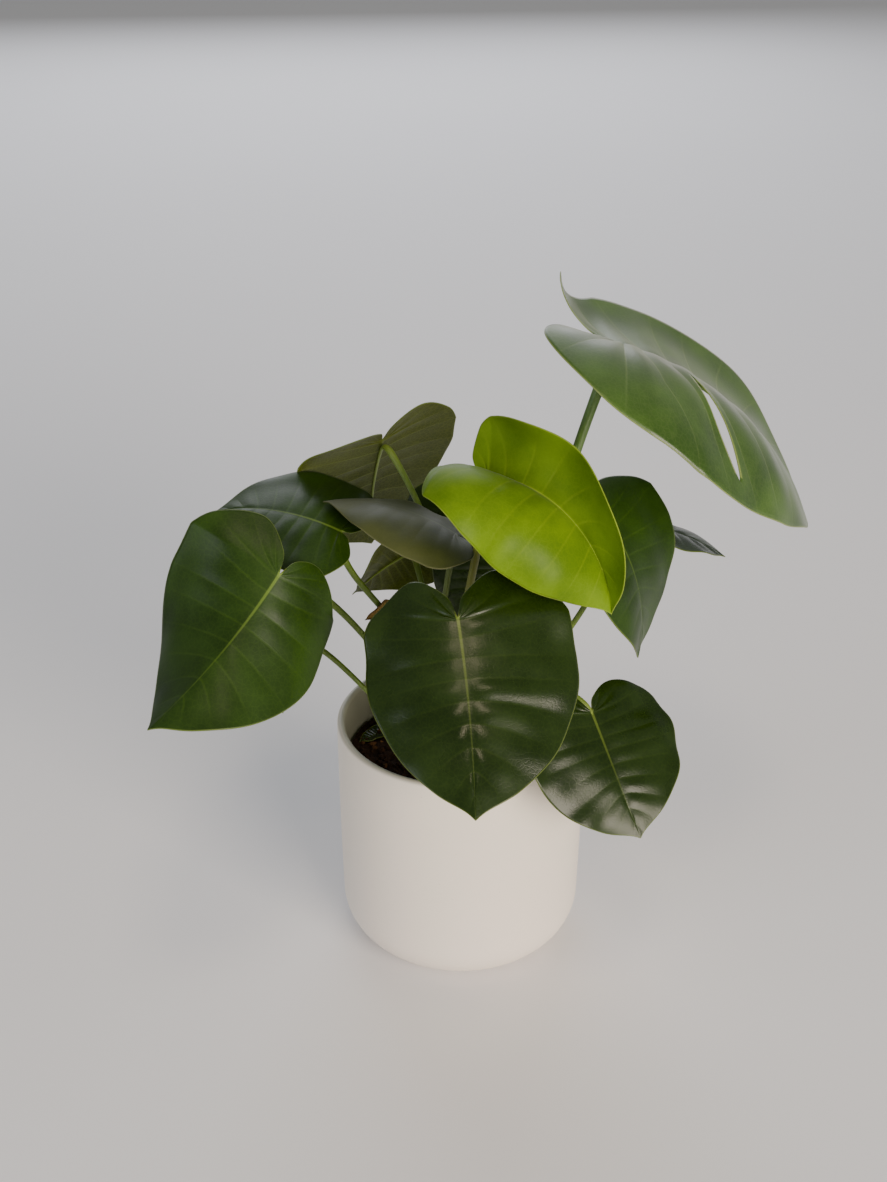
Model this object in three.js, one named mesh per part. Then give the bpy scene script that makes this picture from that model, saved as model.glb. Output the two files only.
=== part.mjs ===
// A young split-leaf plant in a round cover pot, in millimetres, +Z up.
// The origin is the centre of the pot's flat base. Azimuths are degrees from +X towards +Y.
import * as THREE from 'three';
import { ParametricGeometry } from 'three/addons/geometries/ParametricGeometry.js';

// Pot
const potRadius = 70;
const potFootRadius = 69;
const potHeight = 140;
const potWall = 4.5;
const potFloor = 6;
const potCorner = 26;

// Soil and crown
const clearance = 0.3;
const soilDrop = 24;
const soilEdge = 3;
const stemRadius = 5;
const stemHeight = 20;
const thickestStalk = 3;
const soilTop = potHeight - soilDrop;
const innerRadius = potRadius - potWall;
const crownRadius = (stemRadius + 2 * thickestStalk) * 2 / Math.sqrt(3);
const stems = {
  left: { azimuth: 160 },
  right: { azimuth: 20 },
  front: { azimuth: 270 },
};

// Leaves
const bladeThickness = 1;
const stalkSides = 8;
const stalkSteps = 12;
const bladeSlices = 16;
const bladeStacks = 12;

// Half of the flat outline, from the notch round the back lobe to the tip.
// Across is a share of the half width. Along is a share of the length, or of the lobe behind the notch.
const outline = [
  [0, 0], [0.09, -0.42], [0.38, -1], [0.76, -0.55], [0.975, 0.08], [1, 0.27],
  [0.9, 0.48], [0.67, 0.69], [0.36, 0.86], [0.12, 0.95], [0, 1],
];

// length and width: along the midrib, and across each half. lobe: how far the back lobes reach, as a share
// of the length. Angles are degrees, and pairs are the [left, right] halves, seen from above, tip forward.
// droop, sweep, twist: how far the midrib turns down, sideways and about itself on its way to the tip.
// fold: the rise of each half at the midrib. curl: how far each half turns up on its way to the margin.
// back: how far the back lobes turn down.
// at: where the stalk meets the blade, from the middle of the soil's top.
// heading, pitch, roll: the way the midrib points, its rise and the blade's turn about it.
// stalk: the stem it grows from, the azimuth and height of its base there, and the two points that shape it.
const leaves = [
  {
    name: 'front',
    at: [-3, -72, 128], heading: -79, pitch: -41, roll: 5,
    length: 102, width: [60, 51], lobe: 0.24,
    droop: 5, sweep: 7, twist: -2,
    fold: [-1, -6], curl: [-23, -26], back: [19, 20],
    stalk: {
      stem: 'front', azimuth: -110, height: 8, radius: 2.3,
      rise: [-3, -29, 58], reach: [-4, -46, 97],
    },
  },
  {
    name: 'left',
    at: [-92, -54, 143], heading: -130, pitch: -38, roll: -34,
    length: 102, width: [49, 55], lobe: 0.21,
    droop: -5, sweep: 14, twist: 65,
    fold: [-26, 2], curl: [-41, -14], back: [38, 9],
    stalk: {
      stem: 'left', azimuth: 205, height: 8, radius: 2.1,
      rise: [-37, -4, 65], reach: [-75, 0, 110],
    },
  },
  {
    name: 'upper_left',
    at: [-64, -4, 142], heading: 164, pitch: 21, roll: -7,
    length: 75, width: [40, 45], lobe: 0.15,
    droop: 42, sweep: 1, twist: -5,
    fold: [-2, 3], curl: [-13, -12], back: [21, 20],
    stalk: {
      stem: 'left', azimuth: 150, height: 12, radius: 2,
      rise: [-14, 12, 79], reach: [-69, 2, 103],
    },
  },
  {
    name: 'under_left',
    at: [-87, -22, 87], heading: -150, pitch: -55, roll: 0,
    length: 46, width: [17, 17], lobe: 0.22,
    droop: 40, sweep: 1, twist: 1,
    fold: [2, 2], curl: [-18, -18], back: [18, 18],
    stalk: {
      stem: 'front', azimuth: 165, height: 6, radius: 1.7,
      rise: [-40, -25, 31], reach: [-64, -8, 70],
    },
  },
  {
    name: 'middle',
    at: [-3, -8, 142], heading: 156, pitch: 25, roll: 18,
    length: 76, width: [36, 30], lobe: 0.19,
    droop: 38, sweep: -6, twist: -3,
    fold: [1, -4], curl: [-53, -2], back: [-11, 10],
    stalk: {
      stem: 'left', azimuth: 262, height: 14, radius: 1.9,
      rise: [-16, 2, 60], reach: [-9, 0, 104],
    },
  },
  {
    name: 'back_left',
    at: [-44, 68, 164], heading: 110, pitch: -53, roll: -15,
    length: 104, width: [55, 49], lobe: 0.22,
    droop: 17, sweep: 4, twist: -1,
    fold: [2, 6], curl: [2, -23], back: [36, 4],
    stalk: {
      stem: 'left', azimuth: 95, height: 10, radius: 1.9,
      rise: [2, 26, 79], reach: [-15, 39, 128],
    },
  },
  {
    name: 'low_back',
    at: [-27, 30, 114], heading: 188, pitch: -25, roll: 52,
    length: 42, width: [35, 35], lobe: 0.2,
    droop: 23, sweep: 1, twist: -22,
    fold: [0, -4], curl: [-4, -23], back: [20, 19],
    stalk: {
      stem: 'left', azimuth: 35, height: 8, radius: 1.7,
      rise: [-3, 15, 53], reach: [-21, 7, 92],
    },
  },
  {
    name: 'rear',
    at: [-8, 60, 130], heading: -90, pitch: -74, roll: 0,
    length: 50, width: [24, 24], lobe: 0.22,
    droop: 10, sweep: 1, twist: 1,
    fold: [2, 2], curl: [-18, -18], back: [18, 18],
    stalk: {
      stem: 'right', azimuth: 137, height: 12, radius: 2,
      rise: [8, 34, 50], reach: [-3, 88, 88],
    },
  },
  {
    name: 'centre',
    at: [6, 13, 121], heading: -90, pitch: -80, roll: 0,
    length: 46, width: [26, 22], lobe: 0.22,
    droop: 10, sweep: 1, twist: 1,
    fold: [2, 2], curl: [-10, -10], back: [12, 12],
    stalk: {
      stem: 'right', azimuth: 176, height: 8, radius: 1.8,
      rise: [3, 14, 50], reach: [7, 24, 92],
    },
  },
  {
    name: 'young',
    at: [11, -12, 177], heading: -34, pitch: 15, roll: -7,
    length: 110, width: [34, 61], lobe: 0.08,
    droop: 103, sweep: -10, twist: 64,
    fold: [42, 45], curl: [54, -85], back: [37, -16],
    stalk: {
      stem: 'right', azimuth: 215, height: 14, radius: 2.4,
      rise: [-14, -10, 70], reach: [10, -34, 128],
    },
  },
  {
    name: 'top_right',
    at: [80, 35, 232], heading: 9, pitch: -19, roll: -21,
    length: 168, width: [65, 104], lobe: 0.3,
    droop: 48, sweep: -20, twist: 16,
    fold: [13, 2], curl: [23, -65], back: [-59, 0],
    stalk: {
      stem: 'right', azimuth: 5, height: 10, radius: 3,
      rise: [39, 13, 97], reach: [54, 11, 171],
    },
  },
  {
    name: 'right',
    at: [74, 5, 148], heading: -38, pitch: -38, roll: -2,
    length: 84, width: [50, 45], lobe: 0.2,
    droop: 57, sweep: 9, twist: -20,
    fold: [-3, 1], curl: [14, -13], back: [22, 20],
    stalk: {
      stem: 'right', azimuth: -60, height: 9, radius: 1.9,
      rise: [42, -2, 69], reach: [88, 2, 97],
    },
  },
  {
    name: 'far_right',
    at: [83, 65, 117], heading: -4, pitch: -2, roll: -11,
    length: 73, width: [37, 36], lobe: 0.2,
    droop: 30, sweep: 1, twist: 2,
    fold: [-1, 2], curl: [-14, -8], back: [20, 20],
    stalk: {
      stem: 'right', azimuth: 50, height: 13, radius: 1.9,
      rise: [22, 24, 66], reach: [73, 49, 78],
    },
  },
  {
    name: 'back_right',
    at: [38, 64, 122], heading: 60, pitch: -35, roll: 0,
    length: 64, width: [35, 35], lobe: 0.22,
    droop: 30, sweep: 1, twist: 1,
    fold: [2, 2], curl: [-18, -18], back: [18, 18],
    stalk: {
      stem: 'right', azimuth: 90, height: 6, radius: 1.9,
      rise: [18, 19, 55], reach: [29, 41, 90],
    },
  },
  {
    name: 'low_right',
    at: [68, -50, 59], heading: -63, pitch: -42, roll: -7,
    length: 71, width: [47, 46], lobe: 0.2,
    droop: 14, sweep: -9, twist: 20,
    fold: [0, 4], curl: [-13, -8], back: [18, 15],
    stalk: {
      stem: 'front', azimuth: -25, height: 7, radius: 2,
      rise: [18, -22, 68], reach: [58, -44, 76],
    },
  },
];

// A small leaf that fell on the soil. azimuth and fromWall: where it lies.
const fallenLeaf = {
  azimuth: 154, fromWall: 15.5,
  heading: -133, pitch: 0, roll: 0,
  length: 18, width: [6, 6], lobe: 0.2,
  droop: 0, sweep: 10, twist: 0,
  fold: [6, 6], curl: [14, 14], back: [-6, -6],
};

// A dried sheath leaf. alongStalk: the share of the stalk that it clings at. across and above: how far its own
// base lies from there.
const driedSheath = {
  heldBy: 'upper_left', alongStalk: 0.55, across: 9, above: 4,
  heading: 180, pitch: -33, roll: -90,
  length: 20, width: [3.5, 3], lobe: 0.1,
  droop: -12, sweep: 0, twist: 0,
  fold: [0, 0], curl: [20, 20], back: [0, 0],
};

const plant = new THREE.Group();
plant.name = 'potted_monstera_plant';

const potGlaze = { color: 0xe4dfd9, roughness: 0.55, metalness: 0 };
const soilLook = { color: 0x2a2019, roughness: 0.95, metalness: 0 };
const stemLook = { color: 0x5d6b35, roughness: 0.6, metalness: 0 };
const stalkLook = { color: 0x5f7a35, roughness: 0.5, metalness: 0 };
const bladeLook = { color: 0x2f5425, roughness: 0.35, metalness: 0 };
const youngLook = { color: 0x7f9f2c, roughness: 0.35, metalness: 0 };
const sheathLook = { color: 0x8a6a3a, roughness: 0.8, metalness: 0 };

function addMesh(name, geometry, look) {
  const mesh = new THREE.Mesh(geometry, new THREE.MeshStandardMaterial(look));
  mesh.name = name;
  plant.add(mesh);
  return mesh;
}

function around(azimuth, radius, height) {
  const angle = THREE.MathUtils.degToRad(azimuth);
  return new THREE.Vector3(radius * Math.cos(angle), radius * Math.sin(angle), height);
}

// A lathe turns about +Y, so the solid is stood up on +Z.
function lathe(points, segments) {
  return new THREE.LatheGeometry(points, segments).rotateX(Math.PI / 2);
}

function buildPot() {
  const lip = potWall / 2;
  const wallMiddle = potRadius - lip;
  const innerCorner = potCorner - potWall;
  const outside = new THREE.Path();
  outside.moveTo(0, 0);
  outside.lineTo(potFootRadius - potCorner, 0);
  outside.absarc(potFootRadius - potCorner, potCorner, potCorner, -Math.PI / 2, 0, false);
  outside.quadraticCurveTo(potRadius, potHeight / 2, potRadius, potHeight - lip);
  outside.absarc(wallMiddle, potHeight - lip, lip, 0, Math.PI, false);
  outside.quadraticCurveTo(innerRadius, potHeight / 2, potFootRadius - potWall, potFloor + innerCorner);
  outside.absarc(potFootRadius - potCorner, potFloor + innerCorner, innerCorner, 0, -Math.PI / 2, true);
  outside.lineTo(0, potFloor);
  addMesh('pot', lathe(outside.getPoints(4), 40), potGlaze);
}

function buildSoil() {
  const radius = potFootRadius - potWall - clearance;
  const bottom = potFloor + clearance;
  const corner = potCorner - potWall;
  const profile = new THREE.Path();
  profile.moveTo(0, bottom);
  profile.lineTo(radius - corner, bottom);
  profile.absarc(radius - corner, bottom + corner, corner, -Math.PI / 2, 0, false);
  profile.lineTo(radius, soilTop - soilEdge);
  profile.quadraticCurveTo(radius, soilTop, radius - soilEdge, soilTop);
  profile.lineTo(0, soilTop);
  addMesh('soil', lathe(profile.getPoints(3), 40), soilLook);
}

function stemCentre(stem) {
  return around(stems[stem].azimuth, crownRadius, soilTop + clearance);
}

function buildStem(name) {
  const profile = new THREE.Path();
  profile.moveTo(0, 0);
  profile.lineTo(stemRadius, 0);
  profile.lineTo(stemRadius, stemHeight - stemRadius);
  profile.quadraticCurveTo(stemRadius, stemHeight, 0, stemHeight);
  const mesh = addMesh(`stem_${name}`, lathe(profile.getPoints(3), 12), stemLook);
  mesh.position.copy(stemCentre(name));
}

// The leaf's own frame: the stalk meets it at 0, the midrib runs along +Y and its upper face looks along +Z.
function leafRotation(leaf) {
  const radians = THREE.MathUtils.degToRad;
  return new THREE.Euler(radians(leaf.pitch), radians(leaf.roll), radians(leaf.heading - 90), 'ZXY');
}

// How far a curve that starts at one slope and turns at a steady rate has run and risen after a distance.
function arc(start, rate, distance) {
  if (Math.abs(rate) < 1e-6) {
    return { run: distance * Math.cos(start), rise: distance * Math.sin(start) };
  }
  const end = start + rate * distance;
  return { run: (Math.sin(end) - Math.sin(start)) / rate, rise: (Math.cos(start) - Math.cos(end)) / rate };
}

// Takes a point of the flat leaf, raised by height off its middle layer, to its place on the bent leaf.
function bend(leaf, across, along, height, target) {
  const radians = THREE.MathUtils.degToRad;
  const half = across < 0 ? 0 : 1;
  const side = across < 0 ? -1 : 1;
  const distance = Math.abs(across);
  const forward = Math.max(along, 0);

  const fold = radians(leaf.fold[half]);
  const curl = radians(leaf.curl[half]) / leaf.width[half];
  const section = arc(fold, curl, distance);
  const slope = fold + curl * distance;
  const out = side * (section.run - height * Math.sin(slope));
  const up = section.rise + height * Math.cos(slope);

  const sweepRate = radians(leaf.sweep) / leaf.length;
  const rib = arc(0, sweepRate, forward);
  const swept = sweepRate * forward;
  const beside = out * Math.cos(swept);
  const reach = rib.run + Math.min(along, 0) - out * Math.sin(swept);

  const twist = radians(leaf.twist) * forward / leaf.length;
  const x = rib.rise + beside * Math.cos(twist) + up * Math.sin(twist);
  const z = up * Math.cos(twist) - beside * Math.sin(twist);

  const backLength = leaf.length / 4;
  const droopRate = reach < 0 ? -radians(leaf.back[half]) / backLength : -radians(leaf.droop) / leaf.length;
  const midrib = arc(0, droopRate, reach);
  const tilt = droopRate * reach;
  return target.set(x, midrib.run - z * Math.sin(tilt), midrib.rise + z * Math.cos(tilt));
}

const outlineCurve = new THREE.SplineCurve(outline.map(([across, along]) => new THREE.Vector2(across, along)));
const lobeVeins = 0.3;
const lobeVeinSpread = 0.04;
const veinLag = 1.1;
const veinRise = 1.4;

// Where the side vein that ends at this share of the margin leaves the midrib, as a share of the length.
// The veins of the back lobes leave close to the stalk, and the others one after the other up to the tip.
function veinStart(share) {
  const beyond = Math.max(share - lobeVeins, 0) / (1 - lobeVeins);
  return lobeVeinSpread * share + (1 - lobeVeinSpread) * beyond ** veinLag;
}

// A blade is a thin closed body. Its sections follow the side veins, so each is an ellipse that is
// bladeThickness thick at the midrib and sharp at both margins, and it closes at the stalk and at the tip.
function bladeGeometry(leaf) {
  const edge = new THREE.Vector2();
  return new ParametricGeometry((u, share, target) => {
    const angle = 2 * Math.PI * u;
    const side = Math.cos(angle);
    outlineCurve.getPoint(share, edge);
    const half = side < 0 ? leaf.width[0] : leaf.width[1];
    const marginY = edge.y < 0 ? edge.y * leaf.lobe : edge.y;
    const start = veinStart(share);
    const along = leaf.length * (start + (marginY - start) * Math.abs(side) ** veinRise);
    const ends = Math.min(1, share * bladeStacks, (1 - share) * bladeStacks);
    const height = -bladeThickness / 2 * Math.sin(angle) * ends;
    bend(leaf, edge.x * half * side, along, height, target);
  }, bladeSlices, bladeStacks);
}

function stalkPath(leaf) {
  const { stem, azimuth, height, radius, rise, reach } = leaf.stalk;
  const crown = new THREE.Vector3(0, 0, soilTop);
  const base = around(azimuth, stemRadius + clearance + radius, height).add(stemCentre(stem));
  const rising = new THREE.Vector3(...rise).add(crown);
  const reaching = new THREE.Vector3(...reach).add(crown);
  // The stalk stops below the blade, square to its own last stretch, with its near edge clear of the blade.
  const seat = new THREE.Vector3(...leaf.at).add(crown);
  const below = new THREE.Vector3(0, 0, -1).applyEuler(leafRotation(leaf));
  const arriving = seat.clone().sub(reaching).normalize();
  const squareness = Math.abs(arriving.dot(below));
  const sag = Math.tan(THREE.MathUtils.degToRad(Math.max(0, -leaf.fold[0], -leaf.fold[1])));
  const drop = bladeThickness / 2 + clearance + radius * (Math.sqrt(1 - squareness ** 2) + sag);
  const end = seat.addScaledVector(below, drop);
  return new THREE.CubicBezierCurve3(base, rising, reaching, end);
}

function buildStalk(leaf) {
  const section = new THREE.Shape();
  section.absarc(0, 0, leaf.stalk.radius, 0, 2 * Math.PI, false);
  const geometry = new THREE.ExtrudeGeometry(section, {
    steps: stalkSteps,
    curveSegments: stalkSides / 2,
    extrudePath: stalkPath(leaf),
  });
  addMesh(`stalk_${leaf.name}`, geometry, stalkLook);
}

function placeBlade(name, leaf, position, look) {
  const blade = addMesh(name, bladeGeometry(leaf), look);
  blade.position.copy(position);
  blade.rotation.copy(leafRotation(leaf));
}

function buildLeaf(leaf) {
  const position = new THREE.Vector3(...leaf.at).add(new THREE.Vector3(0, 0, soilTop));
  placeBlade(`leaf_${leaf.name}`, leaf, position, leaf.name === 'young' ? youngLook : bladeLook);
  buildStalk(leaf);
}

function buildFallenLeaf() {
  const height = soilTop + clearance + bladeThickness / 2;
  const position = around(fallenLeaf.azimuth, innerRadius - fallenLeaf.fromWall, height);
  placeBlade('fallen_leaf', fallenLeaf, position, bladeLook);
}

// It clings to the front of its stalk.
function buildDriedSheath() {
  const held = leaves.find((leaf) => leaf.name === driedSheath.heldBy);
  const inFront = held.stalk.radius + clearance + bladeThickness / 2;
  const offset = new THREE.Vector3(driedSheath.across, -inFront, driedSheath.above);
  const position = stalkPath(held).getPoint(driedSheath.alongStalk).add(offset);
  placeBlade('dried_sheath', driedSheath, position, sheathLook);
}

buildPot();
buildSoil();
Object.keys(stems).forEach(buildStem);
leaves.forEach(buildLeaf);
buildFallenLeaf();
buildDriedSheath();

export default plant;
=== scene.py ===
import math

import bmesh
import bpy
import numpy as np
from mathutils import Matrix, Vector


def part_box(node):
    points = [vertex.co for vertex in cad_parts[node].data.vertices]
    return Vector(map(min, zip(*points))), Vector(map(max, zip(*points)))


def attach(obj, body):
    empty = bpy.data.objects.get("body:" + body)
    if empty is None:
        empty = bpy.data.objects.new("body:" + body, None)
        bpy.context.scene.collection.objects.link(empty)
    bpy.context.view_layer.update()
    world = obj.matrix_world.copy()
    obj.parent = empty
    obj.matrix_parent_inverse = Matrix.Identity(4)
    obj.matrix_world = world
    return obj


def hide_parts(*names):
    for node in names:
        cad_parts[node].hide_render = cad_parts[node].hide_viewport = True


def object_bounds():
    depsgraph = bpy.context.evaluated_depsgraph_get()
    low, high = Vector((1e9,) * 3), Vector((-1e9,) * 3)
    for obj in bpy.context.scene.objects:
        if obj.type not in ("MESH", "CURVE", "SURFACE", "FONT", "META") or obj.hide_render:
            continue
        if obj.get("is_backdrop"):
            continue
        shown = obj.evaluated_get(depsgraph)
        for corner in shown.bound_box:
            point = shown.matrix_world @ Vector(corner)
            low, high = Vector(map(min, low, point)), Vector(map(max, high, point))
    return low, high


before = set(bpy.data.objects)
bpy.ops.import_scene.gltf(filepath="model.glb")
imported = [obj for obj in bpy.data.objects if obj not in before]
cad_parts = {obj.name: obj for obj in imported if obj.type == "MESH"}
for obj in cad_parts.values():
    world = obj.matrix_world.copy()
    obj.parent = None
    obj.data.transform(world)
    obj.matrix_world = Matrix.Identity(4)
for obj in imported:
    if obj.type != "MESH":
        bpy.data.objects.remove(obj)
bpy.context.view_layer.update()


# ---- Pot -----------------------------------------------------------------------------------------------
# A slip-cast stoneware cover pot: a straight drum on a rounded foot, with a half-round lip. It is dipped in
# a matt off-white glaze. Painted shade greys it towards the top, and grey-green painted shade and painted
# reflection of the leaves darken it inside and over the lip.

MM = 0.001
POT_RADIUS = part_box("pot")[1].x / MM
POT_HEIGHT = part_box("pot")[1].z / MM
POT_FOOT_RADIUS = 69.0
POT_WALL = 4.5
POT_FLOOR = 6.0
POT_CORNER = 26.0
POT_SEGMENTS = 160
FOOT_RING = 50.2
FOOT_LIFT = 1.3


def arc(centre, radius, start, end, steps):
    """Points at even angles, in degrees, on a circle: centre + radius · (cos, sin)."""
    angle = np.radians(np.linspace(start, end, steps))
    return np.stack([centre[0] + radius * np.cos(angle), centre[1] + radius * np.sin(angle)], 1)


def bow(start, control, end, steps):
    """Points on a quadratic Bezier curve: (1-t)² · start + 2t(1-t) · control + t² · end."""
    t = np.linspace(0, 1, steps)[:, None]
    return (1 - t) ** 2 * np.array(start) + 2 * t * (1 - t) * np.array(control) + t ** 2 * np.array(end)


def ring_faces(rings, sides):
    """The faces of a skin over stacked rings, with four corners between one ring and the next and three from
    the first and the last ring to their poles, which are the two points that come after all the rings."""
    here = np.arange(sides)
    beyond = np.roll(here, -1)
    row = np.arange(rings - 1)[:, None] * sides
    quads = np.stack([row + here, row + beyond, row + sides + beyond, row + sides + here], -1)
    pole = np.full(sides, rings * sides)
    last = (rings - 1) * sides
    caps = [np.stack([pole, beyond, here], -1), np.stack([pole + 1, last + here, last + beyond], -1)]
    return quads.reshape(-1, 4).tolist() + np.concatenate(caps).tolist()


def turned(profile, segments):
    """A turned body. Each profile point (radius, height) goes round the z axis, x = radius · cos(angle) and
    y = radius · sin(angle), and the first and last point, on the axis, are its poles."""
    rings = np.asarray(profile)[1:-1]
    angle = np.arange(segments) * 2 * math.pi / segments
    wall = np.stack([
        rings[:, 0, None] * np.cos(angle),
        rings[:, 0, None] * np.sin(angle),
        np.repeat(rings[:, 1, None], segments, 1),
    ], -1).reshape(-1, 3)
    poles = [[0, 0, profile[0][1]], [0, 0, profile[-1][1]]]
    return np.concatenate([wall, poles]), ring_faces(len(rings), segments)


def add_piece(name, points, faces, materials, attributes=None):
    """A smooth mesh object from points in millimetres, which rides on the root body."""
    mesh = bpy.data.meshes.new(name)
    mesh.from_pydata((np.asarray(points) * MM).tolist(), [], faces)
    for key, values in (attributes or {}).items():
        layer = mesh.attributes.new(key, "FLOAT", "POINT")
        layer.data.foreach_set("value", np.asarray(values, np.float32).ravel())
    mesh.polygons.foreach_set("use_smooth", np.ones(len(mesh.polygons), bool))
    for material in materials:
        mesh.materials.append(material)
    piece = bpy.data.objects.new(name, mesh)
    bpy.context.scene.collection.objects.link(piece)
    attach(piece, "root")
    return piece


def paint(code):
    """An sRGB hex colour as linear red, green, blue and alpha."""
    channels = np.array([int(code[i:i + 2], 16) for i in (1, 3, 5)]) / 255
    linear = np.where(channels <= 0.04045, channels / 12.92, ((channels + 0.055) / 1.055) ** 2.4)
    return (*linear.tolist(), 1.0)


def add_node(tree, kind, inputs=None, **settings):
    """A shader node. settings are its own properties, and inputs gives each socket its value, or the
    output that feeds it."""
    node = tree.nodes.new("ShaderNode" + kind)
    for key, value in settings.items():
        setattr(node, key, value)
    for key, value in (inputs or {}).items():
        if isinstance(value, bpy.types.NodeSocket):
            tree.links.new(value, node.inputs[key])
        else:
            node.inputs[key].default_value = value
    return node


def new_material(name, **constants):
    """A material with its Principled shader's plain values set, and that shader and the node tree."""
    material = bpy.data.materials.new(name)
    material.use_nodes = True
    tree = material.node_tree
    shader = next(node for node in tree.nodes if node.type == "BSDF_PRINCIPLED")
    for key, value in constants.items():
        shader.inputs[key.replace("_", " ")].default_value = value
    return material, shader, tree


def per_mm(size):
    """The scale of a pattern on coordinates in metres whose features are about this many millimetres."""
    return 1 / (size * MM)


def matt_glaze():
    """Matt glazed stoneware. The even off-white has a faint warm cloud, sparse fine iron specks and a skin
    like orange peel. Painted shade greys it towards the top, and grey-green painted shade and painted
    reflection of the leaves darken it inside and over the lip."""
    material, shader, tree = new_material(
        "matt_glazed_stoneware", IOR=1.5, Coat_Weight=0.08, Coat_Roughness=0.35,
    )
    where = add_node(tree, "TexCoord").outputs["Object"]
    clouds = add_node(tree, "TexNoise", {"Vector": where, "Scale": per_mm(60), "Detail": 3.0})
    warm = add_node(tree, "MixRGB", {
        "Fac": clouds.outputs["Fac"], "Color1": paint("#ece5d9"), "Color2": paint("#f3e6db"),
    })
    # Painted shade: the colour greys towards the top of the pot.
    height = add_node(tree, "SeparateXYZ", {"Vector": where}).outputs["Z"]
    top_shade = add_node(tree, "MapRange", {
        "Value": height, "From Max": POT_HEIGHT * MM, "To Max": 0.5,
    })
    shade_graded = add_node(tree, "MixRGB", {
        "Fac": top_shade.outputs["Result"], "Color1": warm.outputs["Color"], "Color2": paint("#e2dbc8"),
    })
    specks = add_node(tree, "TexVoronoi", {"Vector": where, "Scale": per_mm(7)})
    dots = add_node(tree, "MapRange", {
        "Value": specks.outputs["Distance"], "From Min": 0.03, "From Max": 0.05,
        "To Min": 0.35, "To Max": 0.0,
    })
    speckled = add_node(tree, "MixRGB", {
        "Fac": dots.outputs["Result"], "Color1": shade_graded.outputs["Color"], "Color2": paint("#9c8f7c"),
    })
    # Painted shade and painted reflection of the leaves: grey-green inside the pot and over its lip.
    inner_shade = add_node(tree, "Attribute", attribute_name="painted_inner_shade").outputs["Fac"]
    inner_shaded = add_node(tree, "MixRGB", {
        "Fac": inner_shade, "Color1": speckled.outputs["Color"], "Color2": paint("#8f9180"),
    })
    peel = add_node(tree, "TexNoise", {"Vector": where, "Scale": per_mm(2.5), "Detail": 2.0})
    skin = add_node(tree, "Bump", {"Height": peel.outputs["Fac"], "Strength": 0.25, "Distance": 0.1 * MM})
    gloss = add_node(tree, "MapRange", {"Value": clouds.outputs["Fac"], "To Min": 0.42, "To Max": 0.58})
    tree.links.new(inner_shaded.outputs["Color"], shader.inputs["Base Color"])
    tree.links.new(gloss.outputs["Result"], shader.inputs["Roughness"])
    tree.links.new(skin.outputs["Normal"], shader.inputs["Normal"])
    return material


def pot_profile():
    """From the middle of the base, out over a shallow foot ring, up the wall, over the lip and inside."""
    lip = POT_WALL / 2
    corner = (POT_FOOT_RADIUS - POT_CORNER, POT_CORNER)
    inner = (corner[0], POT_FLOOR + POT_CORNER - POT_WALL)
    inner_radius = POT_RADIUS - POT_WALL
    ring_side = FOOT_RING + 1.4
    lift = math.degrees(math.asin((ring_side - corner[0]) / POT_CORNER))
    middle = POT_HEIGHT / 2
    return np.concatenate([
        [[0, FOOT_LIFT], [FOOT_RING - 9, FOOT_LIFT], [FOOT_RING - 8, 0.3], [FOOT_RING - 7.4, 0]],
        [[FOOT_RING - 0.8, 0], [FOOT_RING - 0.2, 0.25], [FOOT_RING, 0.7], [FOOT_RING + 0.1, 1.5]],
        [[FOOT_RING + 0.7, 1.75]],
        arc(corner, POT_CORNER, lift - 90, 0, 20),
        bow((POT_FOOT_RADIUS, POT_CORNER), (POT_RADIUS, middle), (POT_RADIUS, POT_HEIGHT - lip), 26)[1:],
        arc((POT_RADIUS - lip, POT_HEIGHT - lip), lip, 0, 180, 16)[1:],
        bow(
            (inner_radius, POT_HEIGHT - lip), (inner_radius, middle),
            (POT_FOOT_RADIUS - POT_WALL, inner[1]), 26,
        )[1:],
        arc(inner, POT_CORNER - POT_WALL, 0, -90, 14)[1:],
        [[0, POT_FLOOR]],
    ])


pot_points, pot_faces = turned(pot_profile(), POT_SEGMENTS)
# Where the grey-green painted shade and reflection go: inside the pot below the lip, and on top of the lip.
pot_reach = np.hypot(pot_points[:, 0], pot_points[:, 1])
pot_ring = np.arange(len(pot_points)) // POT_SEGMENTS
past_lip = (pot_ring >= pot_ring[np.argmax(pot_points[:, 2])]) & (pot_points[:, 2] > POT_FLOOR - 1)
shade_inside = np.clip((POT_RADIUS - 1.2 - pot_reach) / 1.6, 0, 1) * past_lip
shade_on_lip = np.clip((pot_points[:, 2] - POT_HEIGHT + 1.6) / 1.2, 0, 1)
painted_inner_shade = np.maximum(shade_inside, shade_on_lip) * (0.55 + 0.45 * shade_inside)
glazed_pot = add_piece(
    "glazed_pot", pot_points, pot_faces, [matt_glaze()], {"painted_inner_shade": painted_inner_shade},
)
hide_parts("pot")


# ---- Soil ----------------------------------------------------------------------------------------------
# Moist peat potting mix that stops a little below the pot's lip. Its top is crumbly, with lumps of peat, a
# few chips of bark and some coarse grit lying loose on it.

SOIL_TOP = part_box("soil")[1].z / MM
SOIL_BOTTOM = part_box("soil")[0].z / MM
SOIL_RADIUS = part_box("soil")[1].x / MM
SOIL_SEGMENTS = 240
SOIL_RINGS = 80
CRUMBS = 1100


def ripple(points, size, seed, waves=18):
    """Smooth random relief between about -1 and 1: the mean of cosine waves about this many millimetres
    long, that run in random directions from random phases."""
    random = np.random.default_rng(seed)
    direction = random.normal(size=(points.shape[-1], waves))
    direction /= np.linalg.norm(direction, axis=0)
    turns = 2 * math.pi / (size * random.uniform(0.7, 1.4, waves))
    phase = random.uniform(0, 2 * math.pi, waves)
    return np.cos(points @ (direction * turns) + phase).sum(-1) / math.sqrt(waves)


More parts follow.
